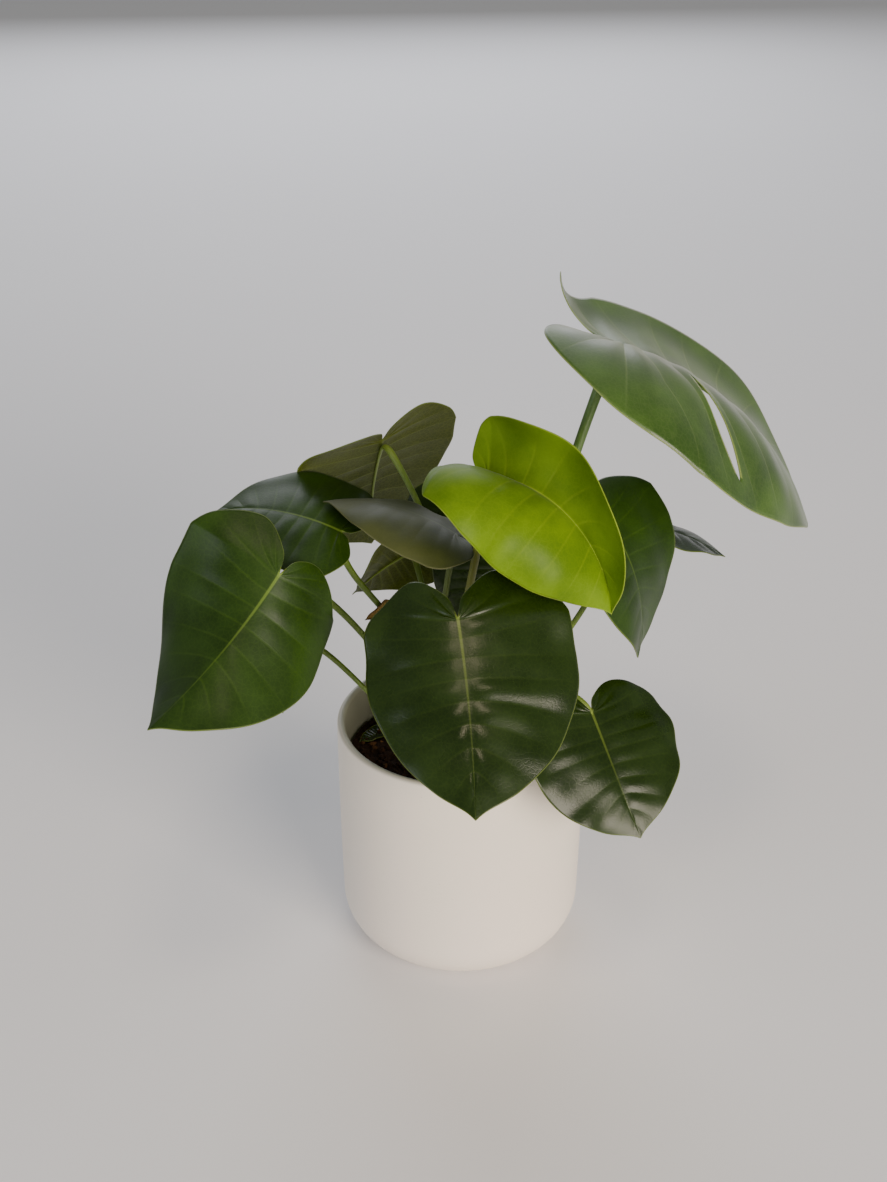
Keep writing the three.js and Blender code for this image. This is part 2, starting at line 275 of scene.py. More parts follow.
def potting_mix():
    """Peat is almost black when moist, with paler dry edges, and it scatters light with no gloss."""
    material, shader, tree = new_material(
        "moist_potting_mix", IOR=1.4, Specular_IOR_Level=0.25, Roughness=0.95,
    )
    where = add_node(tree, "TexCoord").outputs["Object"]
    lumps = add_node(tree, "TexNoise", {"Vector": where, "Scale": per_mm(6), "Detail": 8.0, "Roughness": 0.7})
    flecks = add_node(tree, "TexVoronoi", {"Vector": where, "Scale": per_mm(2.2)})
    dark = add_node(tree, "MixRGB", {
        "Fac": lumps.outputs["Fac"], "Color1": paint("#120c08"), "Color2": paint("#3a281b"),
    })
    dry = add_node(tree, "MapRange", {
        "Value": flecks.outputs["Distance"], "From Min": 0.06, "From Max": 0.2, "To Min": 0.7, "To Max": 0.0,
    })
    tone = add_node(tree, "Attribute", attribute_name="tone").outputs["Fac"]
    flecked = add_node(tree, "MixRGB", {
        "Fac": dry.outputs["Result"], "Color1": dark.outputs["Color"], "Color2": paint("#553a24"),
    })
    chips = add_node(tree, "MixRGB", {
        "Fac": tone, "Color1": flecked.outputs["Color"], "Color2": paint("#7a5534"),
    })
    grain = add_node(tree, "Bump", {"Height": lumps.outputs["Fac"], "Strength": 0.9, "Distance": 0.8 * MM})
    tree.links.new(chips.outputs["Color"], shader.inputs["Base Color"])
    tree.links.new(grain.outputs["Normal"], shader.inputs["Normal"])
    return material


peat = potting_mix()
soil_side = POT_CORNER - POT_WALL
soil_profile = np.concatenate([
    [[0, SOIL_BOTTOM]],
    arc((SOIL_RADIUS - soil_side, SOIL_BOTTOM + soil_side), soil_side, -90, 0, 8),
    [[SOIL_RADIUS, SOIL_TOP - 8], [SOIL_RADIUS, SOIL_TOP - 3]],
    np.stack([np.linspace(SOIL_RADIUS - 0.6, 0, SOIL_RINGS), np.full(SOIL_RINGS, SOIL_TOP)], 1),
])
soil_points, soil_faces = turned(soil_profile, SOIL_SEGMENTS)
on_top = np.clip((soil_points[:, 2] - SOIL_TOP + 3) / 3, 0, 1)
flat = soil_points[:, :2]
lumpy = 0.5 * ripple(flat, 26, 1) + 0.45 * ripple(flat, 9, 2) + 0.4 * ripple(flat, 3.6, 3)
soil_points[:, 2] += on_top * (lumpy - 0.6)
soil_tone = np.zeros(len(soil_points))
soil_body = add_piece("potting_soil", soil_points, soil_faces, [peat], {"tone": soil_tone})
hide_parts("soil")


def scattered_lumps(count, reach, floor, seed):
    """Small loose lumps. Each is an icosahedron whose corners are pushed in and out at random, stretched,
    turned and dropped at a random place on a disc: place + turn · (corner · size · stretch)."""
    random = np.random.default_rng(seed)
    ball = bmesh.new()
    bmesh.ops.create_icosphere(ball, subdivisions=1, radius=1.0)
    corners = np.array([corner.co for corner in ball.verts])
    sides = np.array([[corner.index for corner in face.verts] for face in ball.faces])
    ball.free()
    size = random.gamma(3.0, 0.28, (count, 1, 1)) + 0.35
    stretch = random.uniform(0.55, 1.5, (count, 1, 3))
    turn, _ = np.linalg.qr(random.normal(size=(count, 3, 3)))
    turn *= np.sign(np.linalg.det(turn))[:, None, None]
    knobs = random.uniform(0.75, 1.2, (count, len(corners), 1))
    shapes = np.einsum("nij,nkj->nki", turn, corners * knobs * size * stretch)
    far = reach * np.sqrt(random.uniform(0, 1, count))
    way = random.uniform(0, 2 * math.pi, count)
    place = np.stack([far * np.cos(way), far * np.sin(way), floor + 0.3 * size[:, 0, 0]], -1)
    points = (shapes + place[:, None]).reshape(-1, 3)
    faces = (sides[None] + np.arange(count)[:, None, None] * len(corners)).reshape(-1, 3)
    tone = np.repeat(random.uniform(0, 1, count) ** 5, len(corners))
    return points, faces.tolist(), tone


crumb_points, crumb_faces, crumb_tone = scattered_lumps(CRUMBS, SOIL_RADIUS - 4, SOIL_TOP - 0.4, 11)
add_piece("soil_crumbs", crumb_points, crumb_faces, [peat], {"tone": crumb_tone})


# ---- Crown stems ---------------------------------------------------------------------------------------
# Three short green stems, one for each cutting in the pot. Each is ringed by the scars of old leaves and
# ends in a blunt growing tip.

STEMS = ("stem_left", "stem_right", "stem_front")
STEM_ROOT = 4.0
STEM_SIDES = 40
STEM_RINGS = 60
SCARS = 5
SCAR_DEPTH = 0.35
TIP_STARTS = 0.72


def stem_bark():
    """Young green stem skin, smooth and slightly waxy, browner near the soil and in the scars."""
    material, shader, tree = new_material("green_stem_skin", IOR=1.45, Roughness=0.55)
    where = add_node(tree, "TexCoord").outputs["Object"]
    blotch = add_node(tree, "TexNoise", {"Vector": where, "Scale": per_mm(5), "Detail": 5.0})
    scar = add_node(tree, "Attribute", attribute_name="scar").outputs["Fac"]
    green = add_node(tree, "MixRGB", {
        "Fac": blotch.outputs["Fac"], "Color1": paint("#3f4d20"), "Color2": paint("#6f7c3c"),
    })
    brown = add_node(tree, "MixRGB", {
        "Fac": scar, "Color1": green.outputs["Color"], "Color2": paint("#4c3a22"),
    })
    ridges = add_node(tree, "Bump", {"Height": blotch.outputs["Fac"], "Strength": 0.5, "Distance": 0.2 * MM})
    tree.links.new(brown.outputs["Color"], shader.inputs["Base Color"])
    tree.links.new(ridges.outputs["Normal"], shader.inputs["Normal"])
    return material


bark = stem_bark()
stem_middles = {}
for stem_name in STEMS:
    low, high = (np.array(corner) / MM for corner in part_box(stem_name))
    middle = (low + high) / 2
    stem_middles[stem_name] = middle
    stem_radius = (high[0] - low[0]) / 2
    tall = high[2] - low[2]
    rise = np.linspace(0, 1, STEM_RINGS)
    scars = 0.5 + 0.5 * np.cos(2 * math.pi * rise * SCARS)
    in_tip = np.clip((rise - TIP_STARTS) / (1 - TIP_STARTS), 0, 1)
    girth = stem_radius * np.sqrt(1 - in_tip**2) - SCAR_DEPTH * scars * (1 - rise)
    stem_profile = np.concatenate([
        [[0, -STEM_ROOT], [stem_radius, -STEM_ROOT]],
        np.stack([np.maximum(girth, 0.05), rise * tall], 1),
        [[0, tall]],
    ])
    stem_points, stem_faces = turned(stem_profile, STEM_SIDES)
    near_soil = np.clip(0.25 - rise, 0, 1) * 3
    worn = np.repeat(np.concatenate([[1.0], scars**6 * (1 - rise) + near_soil]), STEM_SIDES)
    stem_points += [middle[0], middle[1], low[2]]
    grown = add_piece(
        "crown_" + stem_name, stem_points, stem_faces, [bark],
        {"scar": np.clip(np.concatenate([worn, [1.0, 0.0]]), 0, 1)},
    )
    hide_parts(stem_name)


# ---- Leaves --------------------------------------------------------------------------------------------
# Fifteen heart-shaped leaves. Each blade is one thin sheet with a sunken midrib and side veins that curve
# out to a pale margin, quilted up between the veins, and one blade has the slit that older leaves get.
# LEAVES says how each blade is shaped, in millimetres and degrees.

# Each half has VEINS spaces between its side veins, ROWS_PER_VEIN rows in each, and COLUMNS spaces across.
# Veins that end before LOBE_VEINS of the margin all start near the stalk, within LOBE_VEIN_SPREAD of the
# length, and later ones lag by the power VEIN_LAG. KEEL: how deep the midrib lies, as a share of the quilt.
BLADE_THICKNESS = 0.5
VEINS = 13
ROWS_PER_VEIN = 12
COLUMNS = 32
LOBE_VEINS = 0.3
LOBE_VEIN_SPREAD = 0.04
VEIN_LAG = 1.1
VEIN_RISE = 1.4
KEEL = 0.4

# Half of the flat outline, from the notch round the back lobe to the tip: the share of the half width, and
# the share of the length, or of the back lobe where it is negative.
OUTLINE = np.array([
    [0, 0], [0.085, -0.52], [0.41, -1.04], [0.81, -0.56], [0.98, 0.08], [1, 0.27],
    [0.91, 0.48], [0.7, 0.69], [0.385, 0.86], [0.1, 0.955], [0, 1],
])

# at: where the stalk meets the blade, from the middle of the soil's top. point: heading, pitch and roll.
# width, fold, curl and back: the left and the right half, seen from above with the tip ahead.
# stem to reach: the stem that the stalk grows from, its azimuth, height and radius there, and the two points
# that shape it. quilt and wave: how high the blade puffs up between its veins and waves at its margin.
LEAVES = {
    "front": dict(
        at=(-3, -72, 128), point=(-79, -41, 5), length=102, width=(60, 51), lobe=0.24,
        droop=5, sweep=7, twist=-2, fold=(-1, -6), curl=(-23, -26), back=(19, 20),
        stem="front", azimuth=-110, height=8, radius=2.3, rise=(-3, -29, 58), reach=(-4, -46, 97),
        look="old", quilt=1.25, wave=1.5,
    ),
    "left": dict(
        at=(-92, -54, 143), point=(-130, -38, -34), length=102, width=(49, 55), lobe=0.21,
        droop=-5, sweep=14, twist=65, fold=(-26, 2), curl=(-41, -14), back=(38, 9),
        stem="left", azimuth=205, height=8, radius=2.1, rise=(-37, -4, 65), reach=(-75, 0, 110),
        look="grown", quilt=0.5, wave=1.2,
    ),
    "upper_left": dict(
        at=(-64, -4, 142), point=(164, 21, -7), length=75, width=(40, 45), lobe=0.15,
        droop=42, sweep=1, twist=-5, fold=(-2, 3), curl=(-13, -12), back=(21, 20),
        stem="left", azimuth=150, height=12, radius=2, rise=(-14, 12, 79), reach=(-69, 2, 103),
        look="grown", quilt=0.6, wave=0.9,
    ),
    "under_left": dict(
        at=(-87, -22, 87), point=(-150, -55, 0), length=46, width=(17, 17), lobe=0.22,
        droop=40, sweep=1, twist=1, fold=(2, 2), curl=(-18, -18), back=(18, 18),
        stem="front", azimuth=165, height=6, radius=1.7, rise=(-40, -25, 31), reach=(-64, -8, 70),
        look="grown", quilt=0.4, wave=0.6,
    ),
    "middle": dict(
        at=(-3, -8, 142), point=(156, 25, 18), length=76, width=(36, 30), lobe=0.19,
        droop=38, sweep=-6, twist=-3, fold=(1, -4), curl=(-53, -2), back=(-11, 10),
        stem="left", azimuth=262, height=14, radius=1.9, rise=(-16, 2, 60), reach=(-9, 0, 104),
        look="shaded", quilt=0.25, wave=0.9,
    ),
    "back_left": dict(
        at=(-44, 68, 164), point=(110, -53, -15), length=104, width=(55, 49), lobe=0.22,
        droop=17, sweep=4, twist=-1, fold=(2, 6), curl=(2, -23), back=(36, 4),
        stem="left", azimuth=95, height=10, radius=1.9, rise=(2, 26, 79), reach=(-15, 39, 128),
        look="grown", quilt=0.8, wave=0.8,
    ),
    "low_back": dict(
        at=(-27, 30, 114), point=(188, -25, 52), length=42, width=(35, 35), lobe=0.2,
        droop=23, sweep=1, twist=-22, fold=(0, -4), curl=(-4, -23), back=(20, 19),
        stem="left", azimuth=35, height=8, radius=1.7, rise=(-3, 15, 53), reach=(-21, 7, 92),
        look="grown", quilt=0.5, wave=0.5,
    ),
    "rear": dict(
        at=(-8, 60, 130), point=(-90, -74, 0), length=50, width=(24, 24), lobe=0.22,
        droop=10, sweep=1, twist=1, fold=(2, 2), curl=(-18, -18), back=(18, 18),
        stem="right", azimuth=137, height=12, radius=2, rise=(8, 34, 50), reach=(-3, 88, 88),
        look="old", quilt=0.6, wave=0.8,
    ),
    "centre": dict(
        at=(6, 13, 121), point=(-90, -80, 0), length=46, width=(26, 22), lobe=0.22,
        droop=10, sweep=1, twist=1, fold=(2, 2), curl=(-10, -10), back=(12, 12),
        stem="right", azimuth=176, height=8, radius=1.8, rise=(3, 14, 50), reach=(7, 24, 92),
        look="old", quilt=0.5, wave=0.5,
    ),
    "young": dict(
        at=(11, -12, 177), point=(-34, 15, -7), length=110, width=(34, 61), lobe=0.08,
        droop=103, sweep=-10, twist=64, fold=(42, 45), curl=(54, -85), back=(37, -16),
        stem="right", azimuth=215, height=14, radius=2.4, rise=(-14, -10, 70), reach=(10, -34, 128),
        look="young", quilt=0.6, wave=2.2,
    ),
    "top_right": dict(
        at=(80, 35, 232), point=(9, -19, -21), length=168, width=(65, 104), lobe=0.3,
        droop=48, sweep=-20, twist=16, fold=(13, 2), curl=(23, -65), back=(-59, 0),
        stem="right", azimuth=5, height=10, radius=3, rise=(39, 13, 97), reach=(54, 11, 171),
        look="largest", quilt=1.1, wave=1.5, slit=True,
    ),
    "right": dict(
        at=(74, 5, 148), point=(-38, -38, -2), length=84, width=(50, 45), lobe=0.2,
        droop=57, sweep=9, twist=-20, fold=(-3, 1), curl=(14, -13), back=(22, 20),
        stem="right", azimuth=-60, height=9, radius=1.9, rise=(42, -2, 69), reach=(88, 2, 97),
        look="grown", quilt=0.35, wave=1.0,
    ),
    "far_right": dict(
        at=(83, 65, 117), point=(-4, -2, -11), length=73, width=(37, 36), lobe=0.2,
        droop=30, sweep=1, twist=2, fold=(-1, 2), curl=(-14, -8), back=(20, 20),
        stem="right", azimuth=50, height=13, radius=1.9, rise=(22, 24, 66), reach=(73, 49, 78),
        look="old", quilt=1.0, wave=0.8,
    ),
    "back_right": dict(
        at=(38, 64, 122), point=(60, -35, 0), length=64, width=(35, 35), lobe=0.22,
        droop=30, sweep=1, twist=1, fold=(2, 2), curl=(-18, -18), back=(18, 18),
        stem="right", azimuth=90, height=6, radius=1.9, rise=(18, 19, 55), reach=(29, 41, 90),
        look="grown", quilt=0.7, wave=0.8,
    ),
    "low_right": dict(
        at=(68, -50, 59), point=(-63, -42, -7), length=71, width=(47, 46), lobe=0.2,
        droop=14, sweep=-9, twist=20, fold=(0, 4), curl=(-13, -8), back=(18, 15),
        stem="front", azimuth=-25, height=7, radius=2, rise=(18, -22, 68), reach=(58, -44, 76),
        look="old", quilt=0.6, wave=1.4,
    ),
}

# The slit opens between two side veins of the right half: its veins' share, its ends across the half, how
# much of the space between those veins it takes, and how much further forward these veins sweep for each
# half width, within a share of the margin. The points beside it are marked as SLIT_RIM mm from a margin.
SLIT = dict(share=0.5, inner=0.33, outer=0.88, gape=0.44, slant=0.22, slant_reach=0.32)
SLIT_RIM = 0.2
NO_GAPE = 1e-6


def turn_of(leaf):
    """The blade's own axes as the columns of a matrix: right half, midrib and upper face. The midrib points
    along the heading, rises by the pitch, and the blade rolls about it."""
    heading, pitch, roll = np.radians(leaf["point"])
    onward = math.cos(pitch)
    ahead = np.array([onward * math.cos(heading), onward * math.sin(heading), math.sin(pitch)])
    level = np.array([math.sin(heading), -math.cos(heading), 0.0])
    above = np.cross(level, ahead)
    right = level * math.cos(roll) - above * math.sin(roll)
    return np.stack([right, ahead, level * math.sin(roll) + above * math.cos(roll)], 1)


def steady_bend(start, rate, distance):
    """How far a curve that starts at one slope and turns at a steady rate has run and risen after a
    distance: ((sin(end) - sin(start)) / rate, (cos(start) - cos(end)) / rate)."""
    rate = np.where(np.abs(rate) < 1e-6, 1e-6, rate)
    end = start + rate * distance
    return (np.sin(end) - np.sin(start)) / rate, (np.cos(start) - np.cos(end)) / rate


def place_on_leaf(leaf, across, along, height):
    """A point of the flat blade, raised by height, in its place on the plant. Its cross-section folds up at
    the midrib and curls on to the margin, the midrib sweeps sideways, the blade twists about the midrib, and
    then it droops towards the tip, while the back lobes turn down behind the stalk."""
    half = np.where(across < 0, 0, 1)
    side = np.where(across < 0, -1.0, 1.0)
    pair = {key: np.array(leaf[key], float)[half] for key in ("width", "fold", "curl", "back")}
    fold = np.radians(pair["fold"])
    curl = np.radians(pair["curl"]) / pair["width"]
    run, rise = steady_bend(fold, curl, np.abs(across))
    slope = fold + curl * np.abs(across)
    out = side * (run - height * np.sin(slope))
    up = rise + height * np.cos(slope)
    length = leaf["length"]
    forward = np.maximum(along, 0)
    sweep = math.radians(leaf["sweep"]) / length
    ahead, aside = steady_bend(0, sweep, forward)
    beside = out * np.cos(sweep * forward)
    reach = ahead + np.minimum(along, 0) - out * np.sin(sweep * forward)
    twist = math.radians(leaf["twist"]) * forward / length
    x = aside + beside * np.cos(twist) + up * np.sin(twist)
    z = up * np.cos(twist) - beside * np.sin(twist)
    behind = -np.radians(pair["back"]) / (length / 4)
    droop = np.where(reach < 0, behind, -math.radians(leaf["droop"]) / length)
    level, lift = steady_bend(0, droop, reach)
    tilt = droop * reach
    own = np.stack([x, level - z * np.sin(tilt), lift + z * np.cos(tilt)], -1)
    return own @ turn_of(leaf).T + np.array(leaf["at"]) + [0, 0, leaf.get("ground", SOIL_TOP)]


def outline_at(share):
    """Points of an even Catmull-Rom spline through OUTLINE's points. It starts square to the midrib, as if
    the other half's outline came before it, so that the notch has a round floor."""
    last = len(OUTLINE) - 1
    step = np.clip(share, 0, 1) * last
    here = np.minimum(step.astype(int), last - 1)
    t = (step - here)[..., None]
    before = np.where((here == 0)[..., None], OUTLINE[1] * [-1, 1], OUTLINE[np.maximum(here - 1, 0)])
    start = OUTLINE[here]
    end, after = OUTLINE[here + 1], OUTLINE[np.minimum(here + 2, last)]
    pull, push = (end - before) / 2, (after - start) / 2
    cubic = 2 * start - 2 * end + pull + push
    square = 3 * end - 3 * start - 2 * pull - push
    return cubic * t**3 + square * t**2 + pull * t + start


def flat_point(leaf, share, side):
    """Across and along, in millimetres, of the flat blade. share runs along the margin from the notch to the
    tip and picks a side vein; side runs along that vein from the midrib, 0, to the margin, -1 or 1. The vein
    starts on the midrib and sweeps forward with the power VEIN_RISE of side."""
    edge = outline_at(share)
    margin = np.where(edge[..., 1] < 0, edge[..., 1] * leaf["lobe"], edge[..., 1])
    beyond = np.maximum(share - LOBE_VEINS, 0) / (1 - LOBE_VEINS)
    start = LOBE_VEIN_SPREAD * share + (1 - LOBE_VEIN_SPREAD) * beyond**VEIN_LAG
    width = np.array(leaf["width"], float)[np.where(side < 0, 0, 1)]
    along = leaf["length"] * (start + (margin - start) * np.abs(side) ** VEIN_RISE)
    return edge[..., 0] * width * side, along


def blade_relief(leaf, share, side, seed):
    """How far the sheet stands up, in millimetres: puffed between the side veins, by the root of a sine from
    vein to vein, and waved at the margin. Both fade out at the midrib, and the puffs at the margin too."""
    out = np.abs(side)
    between = np.abs(np.sin(math.pi * VEINS * share)) ** 1.3
    size = np.sin(math.pi * np.clip(share, 0, 1)) ** 0.6
    fullness = np.random.default_rng(seed).uniform(0.15, 1.0, (2, VEINS))
    interval = np.minimum((share * VEINS).astype(int), VEINS - 1)
    full = fullness[np.where(side < 0, 0, 1), interval]
    puff = leaf["quilt"] * full * between * size * (1 - out**3) * np.clip(out / 0.2, 0, 1)
    flat = np.stack(flat_point(leaf, share, side), -1)
    wave = leaf["wave"] * ripple(flat, 0.4 * leaf["length"], seed) * out**2 * size
    keel = -KEEL * leaf["quilt"] * np.exp(-((out / 0.07) ** 2)) * np.clip(share / 0.12, 0, 1) * size
    return puff + wave + keel


def blade_sheet(leaf, seed):
    """The blade as one open sheet on a grid of share by side, with the notch and the tip as its poles. In the
    slit's space the rows close up towards the veins and the two middle rows aren't joined, and the veins
    beside it sweep further forward."""
    rows = VEINS * ROWS_PER_VEIN
    share_line = np.linspace(0, 1, rows + 1)
    out = np.linspace(0, 1, COLUMNS + 1) ** 0.9
    side_line = np.concatenate([-out[:0:-1], out])
    split = 0
    if leaf.get("slit"):
        split = round((math.floor(SLIT["share"] * VEINS) + 0.5) * ROWS_PER_VEIN)
        share_line = np.insert(share_line, split, share_line[split])
    share, side = np.meshgrid(share_line, side_line, indexing="ij")
    veined = share.copy()
    slant = np.zeros(share.shape)
    open_here = np.zeros(side_line.shape, bool)
    if split:
        along_slit = np.clip((side_line - SLIT["inner"]) / (SLIT["outer"] - SLIT["inner"]), 0, 1)
        gape = SLIT["gape"] / VEINS / 2 * np.sin(math.pi * along_slit) ** 0.6
        open_here = gape > NO_GAPE
        middle = share_line[split]
        space = 0.5 / VEINS
        before = (np.arange(len(share_line)) <= split)[:, None]
        distance = np.abs(share - middle) / space
        push = gape * np.clip(1 - distance, 0, 1)
        veined = share + np.where(before, -push, push)
        fade = np.cos(math.pi / 2 * np.clip((veined - middle) / SLIT["slant_reach"], -1, 1)) ** 2
        centre = (SLIT["inner"] + SLIT["outer"]) / 2
        from_rib = np.clip(side / SLIT["inner"], 0, 1)
        slant = SLIT["slant"] * fade * from_rib * (side - centre)
    across, along = flat_point(leaf, veined + slant, side)
    height = blade_relief(leaf, veined, side, seed)
    points = place_on_leaf(leaf, across, along, height)
    number = np.arange(share.size).reshape(share.shape)
    number[0] = number[0, 0]
    number[-1] = number[-1, 0]
    if split:
        number[split + 1] = np.where(open_here, number[split + 1], number[split])
    quads = np.stack([number[:-1, :-1], number[:-1, 1:], number[1:, 1:], number[1:, :-1]], -1)
    keep = np.ones(quads.shape[:2], bool)
    if split:
        keep[split] = False
    quads = quads[keep]
    used = np.unique(quads)
    quads = np.searchsorted(used, quads)
    first = quads[:, 0] == quads[:, 1]
    last = quads[:, 2] == quads[:, 3]
    faces = quads[~first & ~last].tolist() + quads[first][:, [0, 2, 3]].tolist() + quads[last][:, :3].tolist()
    marks = blade_marks(veined, side, across, along)
    if split:
        on_rim = (np.abs(share - middle) * rows < 1.5) & open_here
        marks["margin"] = np.where(on_rim, SLIT_RIM, marks["margin"])
    return points.reshape(-1, 3)[used], faces, {key: value.reshape(-1)[used] for key, value in marks.items()}


def blade_marks(share, side, across, along):
    """For the material, in millimetres from each point: the nearest side vein, the midrib and the margin;
    and, as shares, how far out along the vein it lies and how far ahead. The distance to a vein is the share
    to it times the distance that one share spans there, and the margin's is along the vein, which slants."""
    travelled = np.hypot(np.gradient(across, axis=0), np.gradient(along, axis=0))
    step = travelled / np.maximum(np.gradient(share, axis=0), 1e-5)
    phase = share * VEINS
    vein = np.abs(phase - np.round(phase)) / VEINS * step
    reach = np.hypot(across, along - along[:, [COLUMNS]])
    edge = reach[:, [0]] * (side < 0) + reach[:, [-1]] * (side >= 0) - reach
    return {
        "vein": vein, "midrib": np.abs(across), "margin": np.maximum(edge, 0) * 0.75,
        "out": np.abs(side), "ahead": share,
    }


# upper and deep: the mottled upper face. pale, rib and margin: its side veins, midrib and edge. under and
# under_pale: the lower face and its veins. gloss: the upper face's roughness. veins: how much its veins show.
# shine: how strongly the leaf mirrors. bloom: the waxy bloom that greys it at a glancing angle.
LOOKS = {
    "old": dict(
        upper="#20320a", deep="#162604", pale="#4c6120", rib="#697b2e", margin="#7b8c40",
        under="#434c10", under_pale="#737d30", gloss=0.25, veins=0.07, shine=0.36, bloom=0.0,
    ),
    "shaded": dict(
        upper="#41481d", deep="#313915", pale="#5e6538", rib="#626a3a", margin="#6e7045",
        under="#434c10", under_pale="#737d30", gloss=0.5, veins=0.03, shine=0.4, bloom=0.1,
    ),
    "grown": dict(
        upper="#27400c", deep="#1b3006", pale="#567424", rib="#728c34", margin="#86984a",
        under="#454f10", under_pale="#7b8632", gloss=0.38, veins=0.1, shine=0.25, bloom=0.03,
    ),
    "largest": dict(
        upper="#3c5c12", deep="#2a4709", pale="#8a9a60", rib="#a0ae62", margin="#a6b468",
        under="#5f8a2f", under_pale="#9dbb64", gloss=0.36, veins=0.26, shine=0.6, bloom=0.24,
    ),
    "young": dict(
        upper="#65840a", deep="#4f6d04", pale="#91a634", rib="#a9bb50", margin="#a0b046",
        under="#7f9526", under_pale="#a6b450", gloss=0.42, veins=0.14, shine=0.13, bloom=0.04,
    ),
}


def leaf_skin(name, look, upper):
    """A leaf's waxy skin. Above, it is deep green and glossy, paler along the veins and the midrib, with a
    thin pale margin and a faint bloom. Below, it is paler and duller, with a fine net of small veins."""
    face = "upper" if upper else "under"
    material, shader, tree = new_material(
        f"leaf_skin_{name}_{face}", IOR=1.45, Specular_IOR_Level=look["shine"],
        Sheen_Weight=look["bloom"], Sheen_Roughness=0.4,
    )
    where = add_node(tree, "TexCoord").outputs["Object"]
    marks = {
        key: add_node(tree, "Attribute", attribute_name=key).outputs["Fac"]
        for key in ("vein", "midrib", "margin", "out", "ahead")
    }
    mottle = add_node(tree, "TexNoise", {"Vector": where, "Scale": per_mm(28), "Detail": 4.0})
    patch = add_node(tree, "MapRange", {"Value": mottle.outputs["Fac"], "From Min": 0.35, "From Max": 0.65})
    net = add_node(tree, "TexVoronoi", {"Vector": where, "Scale": per_mm(2.6)}, feature="DISTANCE_TO_EDGE")
    mesh = add_node(tree, "MapRange", {
        "Value": net.outputs["Distance"], "From Max": 0.12, "To Min": 1.0, "To Max": 0.0,
    })
    body = add_node(tree, "MixRGB", {
        "Fac": patch.outputs["Result"],
        "Color1": paint(look["deep"] if upper else look["under"]),
        "Color2": paint(look["upper"] if upper else look["under"]),
    })
    pale = paint(look["pale"] if upper else look["under_pale"])
    netted = add_node(tree, "MixRGB", {
        "Fac": add_node(tree, "Math", {0: mesh.outputs["Result"], 1: 0.06 if upper else 0.22},
                        operation="MULTIPLY").outputs["Value"],
        "Color1": body.outputs["Color"], "Color2": pale,
    })
    vein_line = add_node(tree, "MapRange", {
        "Value": marks["vein"], "From Min": 0.15, "From Max": 1.0 if upper else 0.8,
        "To Min": look["veins"] if upper else 0.35, "To Max": 0.0,
    }, interpolation_type="SMOOTHSTEP")
    fading = add_node(tree, "MapRange", {
        "Value": marks["out"], "From Min": 0.3, "To Min": 1.0, "To Max": 0.15,
    })
    vein_tint = add_node(tree, "Math", {
        0: vein_line.outputs["Result"], 1: fading.outputs["Result"],
    }, operation="MULTIPLY")
    veined = add_node(tree, "MixRGB", {
        "Fac": vein_tint.outputs["Value"], "Color1": netted.outputs["Color"], "Color2": pale,
    })
    rib_width = add_node(tree, "MapRange", {
        "Value": marks["ahead"], "From Min": 0.1, "From Max": 0.95, "To Min": 1.45, "To Max": 0.25,
    })
    rib_share = add_node(tree, "Math", {
        0: marks["midrib"], 1: rib_width.outputs["Result"],
    }, operation="DIVIDE")
    rib_line = add_node(tree, "MapRange", {
        "Value": rib_share.outputs["Value"], "From Min": 0.35, "From Max": 1.0,
        "To Min": 0.85 if upper else 0.25, "To Max": 0.0,
    }, interpolation_type="SMOOTHSTEP")
    rib_fade = add_node(tree, "MapRange", {
        "Value": marks["ahead"], "From Min": 0.1, "From Max": 0.7, "To Min": 1.0, "To Max": 0.2,
    })
    rib_tint = add_node(tree, "Math", {
        0: rib_line.outputs["Result"], 1: rib_fade.outputs["Result"],
    }, operation="MULTIPLY")
    ribbed = add_node(tree, "MixRGB", {
        "Fac": rib_tint.outputs["Value"], "Color1": veined.outputs["Color"], "Color2": paint(look["rib"]),
    })
    margin_line = add_node(tree, "MapRange", {
        "Value": marks["margin"], "From Min": 0.15, "From Max": 0.5, "To Min": 0.4, "To Max": 0.0,
    }, interpolation_type="SMOOTHSTEP")
    edged = add_node(tree, "MixRGB", {
        "Fac": margin_line.outputs["Result"],
        "Color1": ribbed.outputs["Color"], "Color2": paint(look["margin"]),
    })
    pores = add_node(tree, "TexNoise", {"Vector": where, "Scale": per_mm(0.9), "Detail": 2.0})
    fine = add_node(tree, "Bump", {"Height": pores.outputs["Fac"], "Strength": 0.25, "Distance": 0.05 * MM})
    raised = add_node(tree, "Bump", {
        "Height": mesh.outputs["Result"], "Strength": 0.15 if upper else 0.5, "Distance": 0.1 * MM,
        "Normal": fine.outputs["Normal"],
    }, invert=upper)
    veins = add_node(tree, "Bump", {
        "Height": vein_tint.outputs["Value"], "Strength": 0.5, "Distance": 0.5 * MM,
        "Normal": raised.outputs["Normal"],
    }, invert=upper)
    gloss = look["gloss"] if upper else 0.55
    worn = add_node(tree, "MapRange", {
        "Value": mottle.outputs["Fac"], "From Min": 0.3, "From Max": 0.7,
        "To Min": gloss - 0.05, "To Max": gloss + 0.1,
    })
    tree.links.new(edged.outputs["Color"], shader.inputs["Base Color"])
    tree.links.new(worn.outputs["Result"], shader.inputs["Roughness"])
    tree.links.new(veins.outputs["Normal"], shader.inputs["Normal"])
    return material


def thicken(piece, thickness):
    """Gives a sheet two faces and a rim. The lower face takes the second material, and the rim the first."""
    wall = piece.modifiers.new("thickness", "SOLIDIFY")
    wall.thickness = thickness * MM
    wall.offset = 0.0
    wall.material_offset = 1
    wall.material_offset_rim = 0


